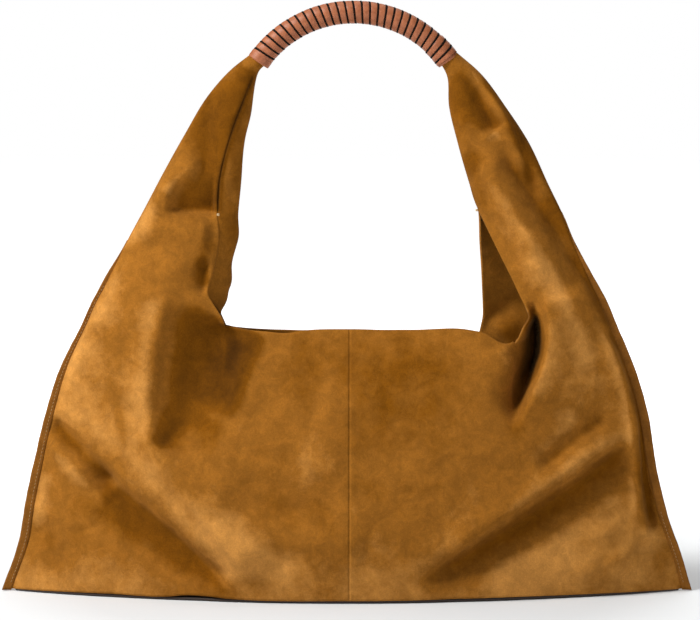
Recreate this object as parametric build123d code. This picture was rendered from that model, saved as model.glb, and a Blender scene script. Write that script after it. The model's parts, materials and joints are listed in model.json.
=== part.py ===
"""Large slouchy suede hobo bag with a leather-wrapped handle.

Row frame: X runs across the bag, the front faces -Y, Z is up. The origin is the centre of the base on
the surface that the bag stands on. All lengths are millimetres.
"""

import os
from math import asin, atan2, cos, degrees, radians, sin

from build123d import *

# ---------------------------------------------------------------- driving dimensions
SUEDE = 2.0  # thickness of the body suede
GAP = 0.2  # clearance between neighbouring soft pieces
MOUTH_Z = 225.0  # height of the mouth's front edge
MOUTH_BACK_DROP = 4.5  # the back edge lies this much lower
MOUTH_X = 5.0  # the mouth sits this far to one side of the centre
MOUTH_HALF = 108.0  # half width of the mouth, and of the gap between the arms
MOUTH_CORNER_R = 14.0
SHELL_TOP = 331.0  # the body panels end here, below the fold of the arms
TIP_INSET = 5.0  # how far the inner surface's pointed side lies inside the outer one

# One row per level of the body: height, half width, half depth at the centre, half depth at SIDE_AT.
LEVELS = [
    (0.0, 284.0, 68.0, 35.0),
    (40.0, 271.0, 70.0, 37.0),
    (100.0, 257.0, 63.0, 36.0),
    (150.0, 248.0, 51.0, 34.0),
    (190.0, 236.0, 35.0, 31.0),
    (225.0, 221.0, 16.0, 27.0),
    (260.0, 205.0, 9.0, 22.0),
    (290.0, 190.0, 6.0, 17.0),
    (SHELL_TOP, 171.0, 5.0, 7.0),
]
LEVEL_COUNT = 17  # cross-sections that the body is lofted through
MID_AT, SIDE_AT, EDGE_AT = 0.35, 0.70, 0.90  # shares of the half width where a level's curve is set
EDGE_SHARE = 0.40  # half depth at EDGE_AT over that at SIDE_AT
MID_FULLNESS = 0.12  # extra half depth at MID_AT, as a share of the centre's

BASE_PANEL = 2.0
BASE_GAP = 1.2  # the base panel stays this far inside the walls
STIFFENER = 1.6
FLANGE_WIDTH = 7.0  # raw seam edge that stands out beyond the side stitching
FLANGE_THICK = 3.2
FLANGE_TOP = 296.0
THREAD = 0.6
TAPE_HALF = 8.0  # half width of the tape inside each centre seam
TAPE_THICK = 1.0
FACING_DEPTH = 24.0
FACING_THICK = 1.2

FOLD_Z = 345.0  # axis that the arms fold about
HANDLE_X = 6.0  # the handle sits this far to one side of the centre
HANDLE_R = 99.0  # radius of the handle's centreline
HANDLE_HALF_SPAN = 81.0
HANDLE_END_Z = 451.0
CORE_R = 6.0
SLEEVE_R = 7.8
WRAP_R = 9.6
COLLAR_R = 10.5
COLLAR_ANGLE = 4.0  # degrees of the handle's arc under each end collar

# One row per station of an arm: height, distance from the handle's middle, half width, half thickness.
ARM_BOTTOM_Z = 337.0
ARM_STATIONS = [
    (ARM_BOTTOM_Z, 134.0, 36.0, 3.5),
    (362.0, 126.5, 30.5, 6.5),
    (392.0, 115.0, 26.0, 10.0),
    (424.0, 101.5, 18.0, 10.5),
]
ARM_WALL = 1.8

POCKET_HALF = 95.0
POCKET_TOP, POCKET_BOTTOM = 189.0, 62.0
POCKET_FRONT_Y, POCKET_BACK_Y = 18.5, 27.0
POCKET_THICK = 1.0
BINDING = 3.0
ZIP_Z = 170.0
ZIP_HALF = 80.0
ZIP_WINDOW = 4.0  # half height of the slot that shows the zip
TAPE_Y = POCKET_FRONT_Y + 1.1
ZIP_TAPE = 0.6
TOOTH_HEIGHT, TOOTH_DEPTH = 1.4, 1.6
TOOTH_SPLIT = 0.6  # half the slit between the two rows
TAPE_WIDTH = 9.0
TAPE_OVERHANG = 6.0  # each tape runs on this far past the zip's end
TEETH_HALF = 78.0
SLIDER_LENGTH = 9.0
SLIDER_HALF_HEIGHT = 3.6
SLIDER_PLATE = 0.7
SLIDER_CLEAR = 0.15  # between the slider's plates and the teeth
EAR_IN, EAR_OUT = 1.5, 2.7  # each ear's reach above and below the pull
ZIP_PIN_R = 0.8
ZIP_PIN_STAND = 1.6  # the pull's pin stands this far in front of the slider
PULL_EYE_R = 1.6
PULL_HALF_HEIGHT = 1.2
TAB_HALF_HEIGHT = 3.5
SLIDER_TRAVEL_HALF = 70.0

SNAP_Z = 203.0  # height of the magnetic snap's two halves, inside the mouth
SNAP_R = 8.0
SNAP_THICK = 2.2
SNAP_PIN_R = 2.6
SNAP_PIN = 1.8
PATCH_HALF = 11.5
PATCH_CORNER_R = 4.0
PATCH_THICK = 1.3
PATCH_LIFT = 0.7  # the flat patch stands this far off the curved facing
SNAP_FIT = 0.1  # clearance round the snap's pin and under its disc


# ---------------------------------------------------------------- helpers
def block(x0, x1, y0, y1, z0, z1):
    """A box between two corners."""
    return Pos((x0 + x1) / 2, (y0 + y1) / 2, (z0 + z1) / 2) * Box(x1 - x0, y1 - y0, z1 - z0)


def level_at(z):
    """Half width, centre depth and side depth at a height, on a smooth curve through LEVELS."""
    i = next(i for i in range(len(LEVELS) - 1) if z <= LEVELS[i + 1][0])
    low, high = LEVELS[i], LEVELS[i + 1]
    before, after = LEVELS[max(i - 1, 0)], LEVELS[min(i + 2, len(LEVELS) - 1)]
    span = high[0] - low[0]
    t = (z - low[0]) / span
    values = []
    for k in (1, 2, 3):
        slope_low = (high[k] - before[k]) / (high[0] - before[0]) * span
        slope_high = (after[k] - low[k]) / (after[0] - low[0]) * span
        value = (2 * t**3 - 3 * t**2 + 1) * low[k] + (3 * t**2 - 2 * t**3) * high[k]
        value += (t**3 - 2 * t**2 + t) * slope_low + (t**3 - t**2) * slope_high
        values.append(value)
    return values


def level_rows():
    """Evenly spaced levels of the body: height and the three sizes there."""
    heights = [SHELL_TOP * i / (LEVEL_COUNT - 1) for i in range(LEVEL_COUNT)]
    return [(z, *level_at(z)) for z in heights]


def level_half(half_width, centre, side):
    """Points of one quarter of a level curve, from the centre line out to the pointed side."""
    mid = 0.5 * (centre + side) + MID_FULLNESS * centre
    return [
        (0.0, centre),
        (MID_AT * half_width, mid),
        (SIDE_AT * half_width, side),
        (EDGE_AT * half_width, EDGE_SHARE * side),
        (half_width, 0.0),
    ]


def level_curve(z, half_width, centre, side, x_sign, y_sign, clear=0.0):
    """One quarter of a level curve as a spline, held off the two planes of symmetry by clear."""
    points = level_half(half_width, centre, side)
    points = [(max(x, clear), max(y, clear)) for x, y in points]
    (x0, y0), (x1, y1) = points[-2:]
    tangents = [(x_sign, 0, 0), (x_sign * (x1 - x0), y_sign * (y1 - y0), 0)]
    return Spline([(x_sign * x, y_sign * y, z) for x, y in points], tangents=tangents)


def level_face(z, half_width, centre, side):
    """The closed level curve of the body: it meets in a point at each side."""
    edges = []
    for x_sign, y_sign in ((-1, -1), (1, -1), (1, 1), (-1, 1)):
        edges.append(level_curve(z, half_width, centre, side, x_sign, y_sign))
    return make_face(edges)


def body_loft(inset):
    """The body's whole form, drawn in by inset."""
    tip = TIP_INSET * inset / SUEDE
    faces = [level_face(z, w - tip, c - inset, s - inset) for z, w, c, s in level_rows()]
    return loft(faces, ruled=True)


def quarter_skin(outer_inset, inner_inset, x_sign, y_sign):
    """One quarter of the layer between two insets of the body's form, clear of its neighbours."""
    faces = []
    for z, w, c, s in level_rows():
        curves = []
        for inset in (outer_inset, inner_inset):
            tip = TIP_INSET * inset / SUEDE
            curves.append(level_curve(z, w - tip, c - inset, s - inset, x_sign, y_sign, GAP / 2))
        outer, inner = curves
        ends = [Line(outer @ 1, inner @ 1), Line(inner @ 0, outer @ 0)]
        faces.append(make_face([outer, inner, *ends]))
    return loft(faces, ruled=True)


def save(name, *solids):
    """Writes one node as a STEP file."""
    export_step(Compound(children=list(solids)) if len(solids) > 1 else solids[0], f"parts/{name}.step")


# ---------------------------------------------------------------- body
def body_panels():
    """Four suede quarters: front and back, each joined by a centre seam."""
    reach = 400.0
    for side, y_sign in (("front", -1), ("back", 1)):
        edge_z = MOUTH_Z if side == "front" else MOUTH_Z - MOUTH_BACK_DROP
        mouth = block(MOUTH_X - MOUTH_HALF, MOUTH_X + MOUTH_HALF, -reach, reach, edge_z, reach)
        mouth = fillet(mouth.edges().filter_by(Axis.Y).group_by(Axis.Z)[0], MOUTH_CORNER_R)
        for hand, x_sign in (("left", -1), ("right", 1)):
            save(f"{side}_panel_{hand}", *(quarter_skin(0.0, SUEDE, x_sign, y_sign) - mouth).solids())


def base_parts():
    """The pointed base panel, and the board that lies on it."""
    z, w, c, s = LEVELS[0]
    inset = SUEDE + BASE_GAP
    tip = TIP_INSET * inset / SUEDE
    base = extrude(level_face(z, w - tip, c - inset, s - inset), BASE_PANEL)
    save("base_panel", base)
    board = level_face(BASE_PANEL + GAP, w - 40, c - inset - 8, s - inset - 8)
    save("base_stiffener", extrude(board, STIFFENER))


def side_flanges():
    """The raw seam edges down each side, and the thread line along each face of them."""
    inner, outer, line_in, line_out = [], [], [], []
    steps = 8
    for i in range(steps + 1):
        z = FLANGE_TOP * i / steps
        w = level_at(z)[0] + 3 * GAP
        taper = FLANGE_WIDTH * (1 - 0.7 * (i / steps) ** 3)
        inner.append((w, 0.0, z))
        outer.append((w + taper, 0.0, z))
        line_in.append((w + 0.6, 0.0, z))
        line_out.append((w + 0.6 + THREAD, 0.0, z))
    for hand, sign in (("left", -1), ("right", 1)):
        strip = ribbon(inner, outer, sign)
        save(f"side_flange_{hand}", extrude(strip, FLANGE_THICK / 2, dir=(0, 1, 0), both=True))
        threads = []
        for y_sign in (-1, 1):
            face = Pos(0, y_sign * (FLANGE_THICK / 2 + 0.02), 0) * ribbon(line_in, line_out, sign)
            threads.append(extrude(face, THREAD, dir=(0, y_sign, 0)))
        save(f"side_stitching_{hand}", *threads)


def ribbon(inner, outer, sign):
    """A flat face between two curves in the XZ plane, mirrored by sign."""
    a = [(sign * x, y, z) for x, y, z in inner]
    b = [(sign * x, y, z) for x, y, z in outer]
    edges = [Spline(a), Line(a[-1], b[-1]), Spline(b), Line(b[0], a[0])]
    return make_face(edges)


def seam_tapes_and_facings():
    """Inside the suede: a tape over each centre seam, and a folded facing along each mouth edge."""
    reach = 200.0
    facing_half = MOUTH_HALF - MOUTH_X - MOUTH_CORNER_R
    for side, y_sign in (("front", -1), ("back", 1)):
        edge_z = MOUTH_Z - 0.5 - (0.0 if side == "front" else MOUTH_BACK_DROP)
        low = edge_z - FACING_DEPTH
        facings, tapes = [], []
        for x_sign in (-1, 1):
            inset = SUEDE + GAP
            layer = quarter_skin(inset, inset + FACING_THICK, x_sign, y_sign)
            facings += (layer & block(-facing_half, facing_half, -reach, reach, low, edge_z)).solids()
            layer = quarter_skin(inset, inset + TAPE_THICK, x_sign, y_sign)
            floor = BASE_PANEL + STIFFENER + 2
            tapes += (layer & block(-TAPE_HALF, TAPE_HALF, -reach, reach, floor, low - 1)).solids()
        save(f"mouth_facing_{side}", *facings)
        save(f"seam_tape_{side}", *tapes)


def bar_tacks():
    """The dense stitch that closes each end of the mouth, below the arms."""
    z0, z1 = 319.0, 323.0
    for hand, sign in (("left", -1), ("right", 1)):
        x0, x1 = sorted((sign * (MOUTH_HALF - 2.2), sign * (MOUTH_HALF - GAP)))
        x0, x1 = MOUTH_X + x0, MOUTH_X + x1
        save(f"bar_tack_{hand}", block(x0, x1, -6.5, 6.5, z0, z1))


# ---------------------------------------------------------------- arms and handle
END_ANGLE = degrees(asin(HANDLE_HALF_SPAN / HANDLE_R))
HANDLE_CENTRE_Z = HANDLE_END_Z - HANDLE_R * cos(radians(END_ANGLE))


def arm_loft(sign, inset):
    """One arm as a closed form: ellipses from the fold up to the handle's end."""
    end = (HANDLE_END_Z, HANDLE_HALF_SPAN, SLEEVE_R - 0.2, SLEEVE_R - 0.2)
    rows = [*ARM_STATIONS, end]
    sections = []
    for i, (z, x, half_w, half_t) in enumerate(rows):
        below, above = rows[max(i - 1, 0)], rows[min(i + 1, len(rows) - 1)]
        lean = atan2(below[1] - above[1], above[0] - below[0])
        if i == 0:
            lean = 0.0
        if i == len(rows) - 1:
            lean = radians(90 - END_ANGLE)
        along = Vector(-sign * sin(lean), 0, cos(lean))
        across = Vector(sign * cos(lean), 0, sin(lean))
        centre = Vector(HANDLE_X + sign * x, 0, z)
        if i == 0:
            centre -= along * (2.0 if inset else 0.0)
        if i == len(rows) - 1:
            centre += along * ((2.0 if inset else 0.0) - 0.4)
        plane = Plane(centre, x_dir=across, z_dir=along)
        sections.append(plane * Ellipse(half_w - inset, half_t - inset))
    return loft(sections)


def arms():
    """Each arm is the gathered top of a front and a back panel, sewn into a flat tube."""
    reach = 300.0
    for hand, sign in (("left", -1), ("right", 1)):
        tube = arm_loft(sign, 0.0) - arm_loft(sign, ARM_WALL)
        for side, y_sign in (("front", -1), ("back", 1)):
            y0, y1 = sorted((y_sign * GAP / 2, y_sign * reach))
            half = tube & block(-reach, reach, y0, y1, ARM_BOTTOM_Z, 2 * reach)
            save(f"{hand}_arm_{side}", *half.solids())


def handle_arc(start, end, outer, inner=0.0):
    """A bent rod or tube on the handle's centreline, between two angles from the top, in degrees."""
    profile = Circle(outer)
    if inner:
        profile -= Circle(inner)
    ring = revolve(Pos(HANDLE_R, 0, 0) * Rot(90, 0, 0) * profile, Axis.Z, end - start)
    # The ring lies in the XY plane from +X. It is stood up in the XZ plane and turned to its place.
    stood = Rot(90, 0, 0) * ring
    return Pos(HANDLE_X, 0, HANDLE_CENTRE_Z) * Rot(0, end - 90, 0) * stood


def handle():
    """Filler core, suede sleeve, spiral leather wrap and the two end collars."""
    lap = 0.2  # degrees left free at each end
    save("handle_core", handle_arc(-END_ANGLE + lap, END_ANGLE - lap, CORE_R))
    save("handle_sleeve", handle_arc(-END_ANGLE + lap, END_ANGLE - lap, SLEEVE_R, CORE_R + GAP / 2))
    wrap_end = END_ANGLE - COLLAR_ANGLE
    save("handle_wrap", handle_arc(-wrap_end, wrap_end, WRAP_R, SLEEVE_R + GAP / 2))
    for hand, sign in (("left", -1), ("right", 1)):
        a, b = sorted((sign * (wrap_end + lap), sign * (END_ANGLE - lap)))
        save(f"wrap_collar_{hand}", handle_arc(a, b, COLLAR_R, SLEEVE_R + GAP / 2))


# ---------------------------------------------------------------- zip pocket
def pocket():
    """A flat pouch that hangs inside the back, with a zip across its front."""
    y0, y1 = POCKET_FRONT_Y, POCKET_BACK_Y
    inner = POCKET_HALF - BINDING
    floor = POCKET_BOTTOM + BINDING
    save("pocket_back", block(-inner, inner, y1, y1 + POCKET_THICK, floor, POCKET_TOP))
    lower = block(-inner, inner, y0, y0 + POCKET_THICK, floor, ZIP_Z - ZIP_WINDOW)
    upper = block(-inner, inner, y0, y0 + POCKET_THICK, ZIP_Z + ZIP_WINDOW, POCKET_TOP)
    save("pocket_front_lower", lower)
    save("pocket_front_upper", upper)
    outline = block(
        -POCKET_HALF, POCKET_HALF, y0 - GAP, y1 + POCKET_THICK + GAP, POCKET_BOTTOM, POCKET_TOP
    )
    inside = block(
        -inner - GAP / 2, inner + GAP / 2, y0 - 2, y1 + 3, floor - GAP / 2, POCKET_TOP + 2
    )
    save("pocket_binding", outline - inside)


TOOTH_Y = TAPE_Y + ZIP_TAPE / 2  # the middle of the tooth rows
TEETH_FRONT, TEETH_BACK = TOOTH_Y - TOOTH_DEPTH / 2, TOOTH_Y + TOOTH_DEPTH / 2
SLIDER_FRONT = TEETH_FRONT - SLIDER_CLEAR - SLIDER_PLATE  # front face of the slider's front plate
ZIP_PIN_Y = SLIDER_FRONT - ZIP_PIN_STAND
SLIDER_X = SLIDER_TRAVEL_HALF  # the zip is modelled closed, with its slider at this end


def zip_tapes_and_teeth():
    """Both tapes with their tooth rows, and the stops at each end."""
    tape_gap = TOOTH_SPLIT + TOOTH_HEIGHT + 0.1
    for name, sign in (("lower", -1), ("upper", 1)):
        z0, z1 = sorted((ZIP_Z + sign * tape_gap, ZIP_Z + sign * (tape_gap + TAPE_WIDTH)))
        reach = ZIP_HALF + TAPE_OVERHANG
        save(f"zip_tape_{name}", block(-reach, reach, TAPE_Y, TAPE_Y + ZIP_TAPE, z0, z1))
        z0, z1 = sorted((ZIP_Z + sign * TOOTH_SPLIT, ZIP_Z + sign * (TOOTH_SPLIT + TOOTH_HEIGHT)))
        save(f"zip_teeth_{name}", block(-TEETH_HALF, TEETH_HALF, TEETH_FRONT, TEETH_BACK, z0, z1))
    stops = []
    for sign in (-1, 1):
        x0, x1 = sorted((sign * (TEETH_HALF + 0.5), sign * (TEETH_HALF + 3.0)))
        stops.append(block(x0, x1, TEETH_FRONT, TEETH_BACK, ZIP_Z - 1.9, ZIP_Z + 1.9))
    save("zip_end_stops", *stops)


def zip_slider():
    """Two plates joined by a post that runs in the slit, and two ears that hold the pull's pin."""
    x0, x1 = SLIDER_X - SLIDER_LENGTH / 2, SLIDER_X + SLIDER_LENGTH / 2
    z0, z1 = ZIP_Z - SLIDER_HALF_HEIGHT, ZIP_Z + SLIDER_HALF_HEIGHT
    back = TEETH_BACK + SLIDER_CLEAR
    slider = block(x0, x1, SLIDER_FRONT, SLIDER_FRONT + SLIDER_PLATE, z0, z1)
    slider += block(x0, x1, back, back + SLIDER_PLATE, z0, z1)
    slider += block(SLIDER_X - 1.5, SLIDER_X + 1.5, SLIDER_FRONT, back, ZIP_Z - 0.3, ZIP_Z + 0.3)
    for sign in (-1, 1):
        z0, z1 = sorted((ZIP_Z + sign * EAR_IN, ZIP_Z + sign * EAR_OUT))
        slider += block(SLIDER_X - 1.4, SLIDER_X + 1.4, ZIP_PIN_Y - 1.0, SLIDER_FRONT + 0.1, z0, z1)
    slider += Pos(SLIDER_X, ZIP_PIN_Y, ZIP_Z) * Cylinder(ZIP_PIN_R, 2 * EAR_OUT - 0.4)
    save("zip_slider", slider)


def zip_pull():
    """A short metal link that turns on the slider's pin, and its leather tab."""
    x, y = SLIDER_X, ZIP_PIN_Y
    link = Pos(x, y, ZIP_Z) * Cylinder(PULL_EYE_R, 2 * PULL_HALF_HEIGHT)
    link += block(x - 12.0, x - 1.0, y - 0.5, y + 0.5, ZIP_Z - PULL_HALF_HEIGHT, ZIP_Z + PULL_HALF_HEIGHT)
    link -= Pos(x, y, ZIP_Z) * Cylinder(ZIP_PIN_R + 0.06, 6.0)
    save("zip_pull", link)
    tab = block(x - 38.0, x - 10.5, y - 1.5, y + 1.5, ZIP_Z - TAB_HALF_HEIGHT, ZIP_Z + TAB_HALF_HEIGHT)
    tab = fillet(tab.edges().filter_by(Axis.Y).group_by(Axis.X)[0], 3.0)
    slot_half = PULL_HALF_HEIGHT + 0.1
    slot = block(x - 12.6, x - 10.0, y - 0.6, y + 0.6, ZIP_Z - slot_half, ZIP_Z + slot_half)
    save("zip_pull_tab", tab - slot)


# ---------------------------------------------------------------- magnetic closure
def closure():
    """A magnetic snap: one half inside each mouth facing, on a small leather patch."""
    wall = body_loft(SUEDE + GAP + FACING_THICK)
    for side, y_sign, kind in (("front", -1, "female"), ("back", 1, "male")):
        hits = wall.find_intersection_points(Axis((0, 0, SNAP_Z), (0, y_sign, 0)))
        point, normal = max(hits, key=lambda hit: y_sign * hit[0].Y)
        inward = normal if y_sign * normal.Y < 0 else -normal
        seat = Plane(point + inward * PATCH_LIFT, x_dir=(1, 0, 0), z_dir=inward)
        patch = Box(2 * PATCH_HALF, 2 * PATCH_HALF, PATCH_THICK)
        patch = fillet(patch.edges().filter_by(Axis.Z), PATCH_CORNER_R)
        patch -= Cylinder(SNAP_PIN_R + SNAP_FIT, 2 * PATCH_THICK)
        save(f"snap_patch_{side}", seat * Pos(0, 0, PATCH_THICK / 2) * patch)
        face_z = PATCH_THICK + SNAP_FIT
        snap = Pos(0, 0, face_z + SNAP_THICK / 2) * Cylinder(SNAP_R, SNAP_THICK)
        snap += Pos(0, 0, face_z / 2) * Cylinder(SNAP_PIN_R, face_z)
        if kind == "male":
            snap += Pos(0, 0, face_z + SNAP_THICK + SNAP_PIN / 2) * Cylinder(SNAP_PIN_R, SNAP_PIN)
        else:
            snap -= Pos(0, 0, face_z + SNAP_THICK) * Cylinder(SNAP_PIN_R + 0.3, 2 * SNAP_PIN)
        save(f"snap_{kind}", seat * snap)


os.makedirs("parts", exist_ok=True)
body_panels()
base_parts()
side_flanges()
seam_tapes_and_facings()
bar_tacks()
arms()
handle()
pocket()
zip_tapes_and_teeth()
zip_slider()
zip_pull()
closure()
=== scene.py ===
"""Looks of a slouchy suede hobo bag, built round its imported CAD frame.

Shape functions work in millimetres in the row frame: X across, the front at -Y, Z up. to_mesh() turns them
into metres.
"""

import json
from math import cos, pi, radians, sin

import bpy
import numpy as np
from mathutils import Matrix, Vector, noise


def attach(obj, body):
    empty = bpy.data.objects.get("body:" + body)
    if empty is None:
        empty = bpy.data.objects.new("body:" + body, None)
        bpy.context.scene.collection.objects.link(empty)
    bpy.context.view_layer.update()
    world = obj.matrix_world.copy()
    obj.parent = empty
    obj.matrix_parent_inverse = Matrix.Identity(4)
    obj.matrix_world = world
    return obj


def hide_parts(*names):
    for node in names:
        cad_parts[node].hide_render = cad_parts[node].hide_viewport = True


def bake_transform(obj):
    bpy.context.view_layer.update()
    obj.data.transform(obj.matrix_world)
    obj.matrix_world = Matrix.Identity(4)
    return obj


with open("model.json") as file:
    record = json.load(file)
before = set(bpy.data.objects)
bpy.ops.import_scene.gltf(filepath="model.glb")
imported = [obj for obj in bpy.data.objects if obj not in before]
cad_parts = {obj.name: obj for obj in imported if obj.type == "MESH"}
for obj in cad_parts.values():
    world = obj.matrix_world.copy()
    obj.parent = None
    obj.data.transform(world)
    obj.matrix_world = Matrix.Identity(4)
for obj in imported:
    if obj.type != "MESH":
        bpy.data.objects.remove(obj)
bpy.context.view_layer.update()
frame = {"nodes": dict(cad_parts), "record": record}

MM = 0.001
SUEDE = 1.7  # thickness of the suede
SEAM_X = 2.0  # the centre seams stand here
FRONT, BACK = -1, 1
LEFT, RIGHT = -1, 1
HAND = {LEFT: "left", RIGHT: "right"}
SIDE = {FRONT: "front", BACK: "back"}

# Grid of a suede half: rows up to the mouth and beyond it, columns in all and under the arm.
BODY_ROWS = 110
ARM_ROWS = 110
COLUMNS = 130
ARM_COLUMNS = 60
SETTLING = 16  # rounds that even out a half's depth before it is folded
CREST = 1.6  # shape of a fold across: 2 is a soft bell, less is a sharper crest
WAVES = ((1.5, 46), (0.7, 17))  # height and size of the suede's loose waves
CREASE_DEPTH, CREASE_SIZE, CREASE_SHARPNESS = 0.8, 62, 10
GROOVE_DEPTH, GROOVE_WIDTH = 0.22, 1.6  # along the centre seams
LINING_GAP = 0.25  # air between the suede's inside and a strip on it

# ------------ outlines
# Side seam of each hand: height, x.
SIDE_SEAM = {
    LEFT: [(0, -288.5), (43, -273.5), (77, -267.5), (115, -259.5), (154, -250.5), (190, -239.5),
           (229, -220.5)],
    RIGHT: [(0, 288), (28, 280), (62, 268), (102, 258), (154, 249), (184, 240.5), (229, 222)],
}
# Body: height, half depth at the centre, half depth at 0.7 of the half width.
DEPTHS = [(0, 64, 33), (18, 67, 35), (50, 69, 37), (100, 63, 37), (150, 51, 35), (190, 36, 32), (229, 17, 27)]

# Arms, from the mouth's corner up to the handle. Each station has the outer edge (x, z), the inner edge of
# the front or back piece (x, z), the half thickness, how far round the section the piece runs (in half
# turns), and how far round its depth has closed.
OUTER = {
    LEFT: [(-220.5, 229), (-213.5, 245), (-205, 261), (-195, 281), (-184, 303), (-172, 325), (-155, 357),
           (-137, 389), (-117, 422), (-98, 443.5), (-79.0, 458.4)],
    RIGHT: [(222, 229), (217.5, 240), (212.5, 252), (207.5, 262), (201, 276), (192, 296), (183, 320),
            (170, 347), (153, 383), (134, 412), (113, 440), (90.1, 460.1)],
}
# The upper stations are the front piece's. The back piece shares them and runs round the rest of the section.
UPPER = {
    LEFT: [(-108.8, 323, 14, 0.694), (-107, 352, 12.5, 0.65), (-99, 385, 12, 0.665), (-88, 415, 11.5, 0.69),
           (-77.5, 440, 10, 0.80), (-67.1, 449.1, 8, 1.0)],
    RIGHT: [(110.5, 326, 15, 1.0), (102.5, 350, 14, 1.0), (93, 383, 13, 1.0), (86, 412, 12, 1.0),
            (84.5, 437, 10, 1.0), (78.0, 450.5, 8, 1.0)],
}
LOWER = {
    (LEFT, FRONT): [
        (-103, 229, 27, 0.70, 0.62), (-108, 241, 26, 0.75, 0.66), (-116.5, 256, 24, 0.77, 0.72),
        (-112, 275, 21, 0.76, 0.74), (-107.5, 300, 17, 0.735, 0.735),
    ],
    (LEFT, BACK): [
        (-103, 224.5, 27, 0.70, 0.62), (-109, 241, 26, 1.12, 0.98), (-121, 259, 24, 1.30, 1.13),
        (-118.5, 281, 21, 1.31, 1.18), (-113, 303, 17, 1.32, 1.24),
    ],
    (RIGHT, FRONT): [
        (142, 214, 26, 0.60, 0.60), (148, 227, 26, 0.60, 0.60), (153.5, 238, 25, 0.60, 0.60),
        (147.5, 250, 23, 0.62, 0.62), (139, 268, 21, 0.66, 0.66), (128, 290, 18.5, 0.74, 0.74),
    ],
    (RIGHT, BACK): [
        (113, 219.5, 26, 0.66, 0.62), (115.5, 232, 26, 0.70, 0.68), (115.5, 243, 25, 0.75, 0.74),
        (114.8, 256, 23, 0.80, 0.80), (113.7, 275, 21, 0.88, 0.88), (112, 298, 18.5, 0.95, 0.95),
    ],
}
INNER = {}
for (hand, side), stations in LOWER.items():
    shared = [(x, z, half, q if side == FRONT else 2 - q) for x, z, half, q in UPPER[hand]]
    INNER[hand, side] = stations + [(x, z, half, q, q) for x, z, half, q in shared]
# Mouth edge: x, height.
MOUTH = {
    FRONT: [(-103, 229), (-91, 227), (-70, 225.2), (-50, 223.6), (-38, 225.3), (0, 226.3), (54, 225.5),
            (94, 226.5), (105, 225.5), (116.5, 223.5), (124, 218.5), (131.5, 215), (137, 215), (142, 217.5)],
    BACK: [(-103, 224.5), (-91, 223), (-40, 221), (0, 221.5), (60, 221), (100, 221.5), (113, 219.5)],
}
ROOT_X = {LEFT: -135.0, RIGHT: 150.0}  # foot of the column that leads up to the mouth's corner
ROOT_REACH = 0.14  # how far past that column the arm's depth is felt, as a share of the way to the centre
# Lower edge of the suede: x, height.
HEM = [(-286, 1.5), (-200, 3), (-150, 3), (-136, 4.6), (-120, 4.4), (-100, 3), (0, 2.4), (150, 3), (286, 1.5)]


# ------------ maths
def cubic(t, span, low, high, rise_low, rise_high):
    """At share t of a span, the smooth curve between two values with a slope at each."""
    value = (2 * t**3 - 3 * t**2 + 1) * low + (3 * t**2 - 2 * t**3) * high
    value += (t**3 - 2 * t**2 + t) * span * rise_low + (t**3 - t**2) * span * rise_high
    return value


def through(knots, at):
    """A smooth curve through (position, value, ...) knots, level beyond its ends."""
    table = np.array(knots, float)
    pos, values = table[:, 0], table[:, 1:]
    slopes = np.gradient(values, pos, axis=0)
    at = np.asarray(at, float)
    i = np.clip(np.searchsorted(pos, at) - 1, 0, len(pos) - 2)
    span = pos[i + 1] - pos[i]
    t = np.clip((at - pos[i]) / span, 0, 1)[..., None]
    value = cubic(t, span[..., None], values[i], values[i + 1], slopes[i], slopes[i + 1])
    return value[..., 0] if values.shape[1] == 1 else value


def step(low, high, at):
    """Rises smoothly from 0 at low to 1 at high."""
    t = np.clip((np.asarray(at, float) - low) / (high - low), 0, 1)
    return t * t * (3 - 2 * t)


def body_depth(x, z, edge_x):
    """Half depth of the body's plain lens-shaped form."""
    centre, side = np.moveaxis(through(DEPTHS, z), -1, 0)
    mid = 0.5 * (centre + side) + 0.12 * centre
    stations = np.array([0.0, 0.35, 0.70, 0.90, 1.0])
    values = [centre, mid, side, 0.42 * side, 0 * side]
    slopes = [0 * side, (side - centre) / 0.70, (0.42 * side - mid) / 0.55, -side / 0.30, -5.5 * side]
    t = np.clip(np.abs(x) / np.abs(edge_x), 0, 1)
    depth = np.zeros_like(t)
    for k in range(4):
        span = stations[k + 1] - stations[k]
        u = (t - stations[k]) / span
        value = cubic(u, span, values[k], values[k + 1], slopes[k], slopes[k + 1])
        depth = np.where((u >= 0) & (u <= 1), value, depth)
    return depth


def along(path):
    """Running length at each point of a path."""
    path = np.array(path, float)
    return np.concatenate([[0], np.cumsum(np.linalg.norm(np.diff(path, axis=0), axis=1))])


# ------------ suede panels
def round_share(f, q):
    """Share of an arm's width at share f of a piece that runs q half turns round the section."""
    return (1 - np.cos(pi * q * f)) / (1 - np.cos(pi * q))


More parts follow.
